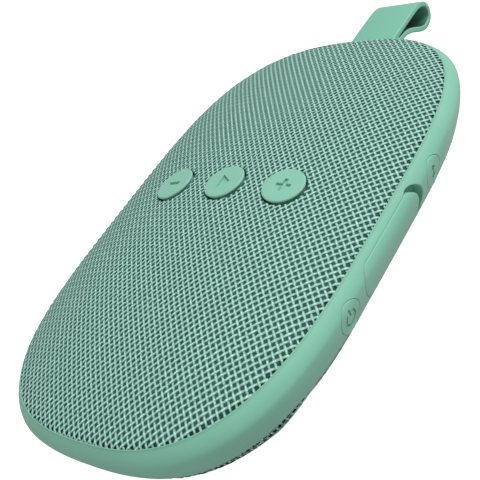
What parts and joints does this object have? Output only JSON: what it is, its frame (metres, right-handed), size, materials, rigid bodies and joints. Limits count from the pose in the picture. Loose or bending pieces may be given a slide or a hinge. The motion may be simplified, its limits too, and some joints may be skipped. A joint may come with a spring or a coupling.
{
  "type": "portable bluetooth speaker",
  "caption": "Palm-size speaker: cloth-covered pillow body with a soft edge band, three press buttons on the front, side power and pairing buttons, a folding port cover and a strap loop.",
  "frame": {"origin": "on the resting plane, under the middle of the body, with the speaker lying on its back", "axes": "+Z out of the front cloth, +Y to the strap, +X to the side with the port cover and the two side buttons"},
  "size_m": [0.074, 0.1416, 0.0359],
  "materials": {
    "mesh_cloth": "coarse plain-weave mesh",
    "soft_band": "satin soft-touch silicone",
    "front_buttons": "satin moulded",
    "strap_silicone": "satin silicone",
    "shell_plastic": "fine moulded texture",
    "dark_rubber": "matte",
    "screw_steel": "zinc plated",
    "circuit_board": "solder mask",
    "flex_film": "amber film",
    "chip_plastic": "moulded epoxy",
    "connector_plastic": "nylon",
    "plated_shell": "nickel plated",
    "frame_metal": "black zinc",
    "magnet_steel": "zinc plated",
    "cone_paper": "pressed pulp",
    "spider_cloth": "resin-dipped cloth",
    "coil_copper": "enamelled copper",
    "cell_wrap": "shrink film",
    "lead_insulation": "silicone insulation"
  },
  "bodies": {
    "housing": {"front_fabric": "mesh_cloth", "front_grille": "shell_plastic", "front_housing": "shell_plastic", "side_band": "soft_band", "rear_housing": "shell_plastic", "rear_fabric": "mesh_cloth", "base_pad": "dark_rubber", "housing_seal": "dark_rubber", "housing_screws": "screw_steel", "strap_pin": "screw_steel", "strap_bracket": "screw_steel", "button_mat": "dark_rubber", "button_board": "circuit_board", "button_board_screws": "screw_steel", "button_flex": "flex_film", "side_switch_boards": "circuit_board", "side_switches": "chip_plastic", "port_cover_anchor": "soft_band", "port_bay": "shell_plastic", "usb_port": "plated_shell", "usb_tongue": "shell_plastic", "port_board": "circuit_board", "driver_basket": "frame_metal", "driver_magnet": "magnet_steel", "driver_gasket": "dark_rubber", "driver_spider": "spider_cloth", "driver_surround": "dark_rubber", "driver_screws": "screw_steel", "radiator_frame": "frame_metal", "radiator_gasket": "dark_rubber", "radiator_surround": "dark_rubber", "radiator_screws": "screw_steel", "main_board": "circuit_board", "main_board_screws": "screw_steel", "main_board_chips": "chip_plastic", "bluetooth_module": "plated_shell", "board_capacitors": "chip_plastic", "board_connectors": "connector_plastic", "battery_cell": "cell_wrap", "battery_cradle": "shell_plastic", "battery_leads": "lead_insulation", "driver_leads": "lead_insulation"},
    "strap": {"strap_loop": "strap_silicone"},
    "minus_key": {"minus_button": "front_buttons"},
    "play_key": {"play_button": "front_buttons"},
    "plus_key": {"plus_button": "front_buttons"},
    "power_key": {"power_button": "soft_band"},
    "pairing_key": {"pairing_button": "soft_band"},
    "cover": {"port_cover": "soft_band"},
    "cone": {"driver_cone": "cone_paper", "driver_dust_cap": "cone_paper", "driver_voice_coil": "coil_copper"},
    "radiator": {"radiator_plate": "frame_metal"}
  },
  "joints": [
    {"name": "minus_press", "type": "slide", "parent": "housing", "child": "minus_key", "axis": [0.128, 0, -0.9918], "range_m": [0, 0.0006], "stiffness_N_per_m": 400},
    {"name": "play_press", "type": "slide", "parent": "housing", "child": "play_key", "axis": [0, 0, -1], "range_m": [0, 0.0006], "stiffness_N_per_m": 400},
    {"name": "plus_press", "type": "slide", "parent": "housing", "child": "plus_key", "axis": [-0.128, 0, -0.9918], "range_m": [0, 0.0006], "stiffness_N_per_m": 400},
    {"name": "power_press", "type": "slide", "parent": "housing", "child": "power_key", "axis": [-1, 0, 0], "range_m": [0, 0.0005], "stiffness_N_per_m": 400},
    {"name": "pairing_press", "type": "slide", "parent": "housing", "child": "pairing_key", "axis": [-1, 0, 0], "range_m": [0, 0.0005], "stiffness_N_per_m": 400},
    {"name": "port_cover_fold", "type": "hinge", "parent": "housing", "child": "cover", "pos_m": [0.03694, -0.0098, 0.0235], "axis": [0, 0, -1], "range_deg": [0, 110], "stiffness_Nm_per_rad": 0.004},
    {"name": "strap_swing", "type": "hinge", "parent": "housing", "child": "strap", "pos_m": [0, 0.0574, 0.0233], "axis": [1, 0, 0], "range_deg": [-25, 25], "stiffness_Nm_per_rad": 0.012},
    {"name": "cone_stroke", "type": "slide", "parent": "housing", "child": "cone", "axis": [0, 0, 1], "range_m": [-0.0012, 0.0012], "stiffness_N_per_m": 1200, "deforming": ["driver_surround", "driver_spider"]},
    {"name": "radiator_stroke", "type": "slide", "parent": "housing", "child": "radiator", "axis": [0, 0, 1], "range_m": [-0.002, 0.002], "stiffness_N_per_m": 900, "deforming": ["radiator_surround"]}
  ]
}
